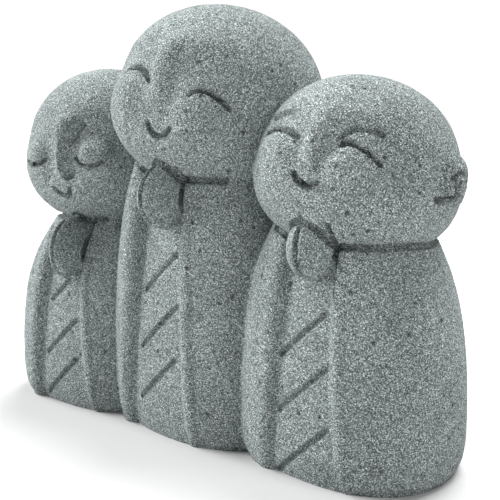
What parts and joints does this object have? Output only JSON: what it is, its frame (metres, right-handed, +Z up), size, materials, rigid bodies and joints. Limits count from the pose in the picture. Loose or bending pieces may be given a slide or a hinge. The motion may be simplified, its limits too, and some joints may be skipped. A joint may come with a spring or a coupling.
{
  "type": "jizo group statue",
  "caption": "Small stone group of round-headed robed jizo figures with joined hands, standing side by side as one cast block that rests on its flat underside.",
  "frame": {"origin": "on the flat underside, under the middle of the block", "axes": "+Z up, -Y the way the figures look, +X along the row towards the figure on the right as seen from the front"},
  "size_m": [0.1922, 0.073, 0.1502],
  "materials": {
    "stone": "matt, fine grey-green grain with light and dark specks and small pits"
  },
  "bodies": {
    "root": {"jizo_group": "stone"}
  },
  "joints": []
}
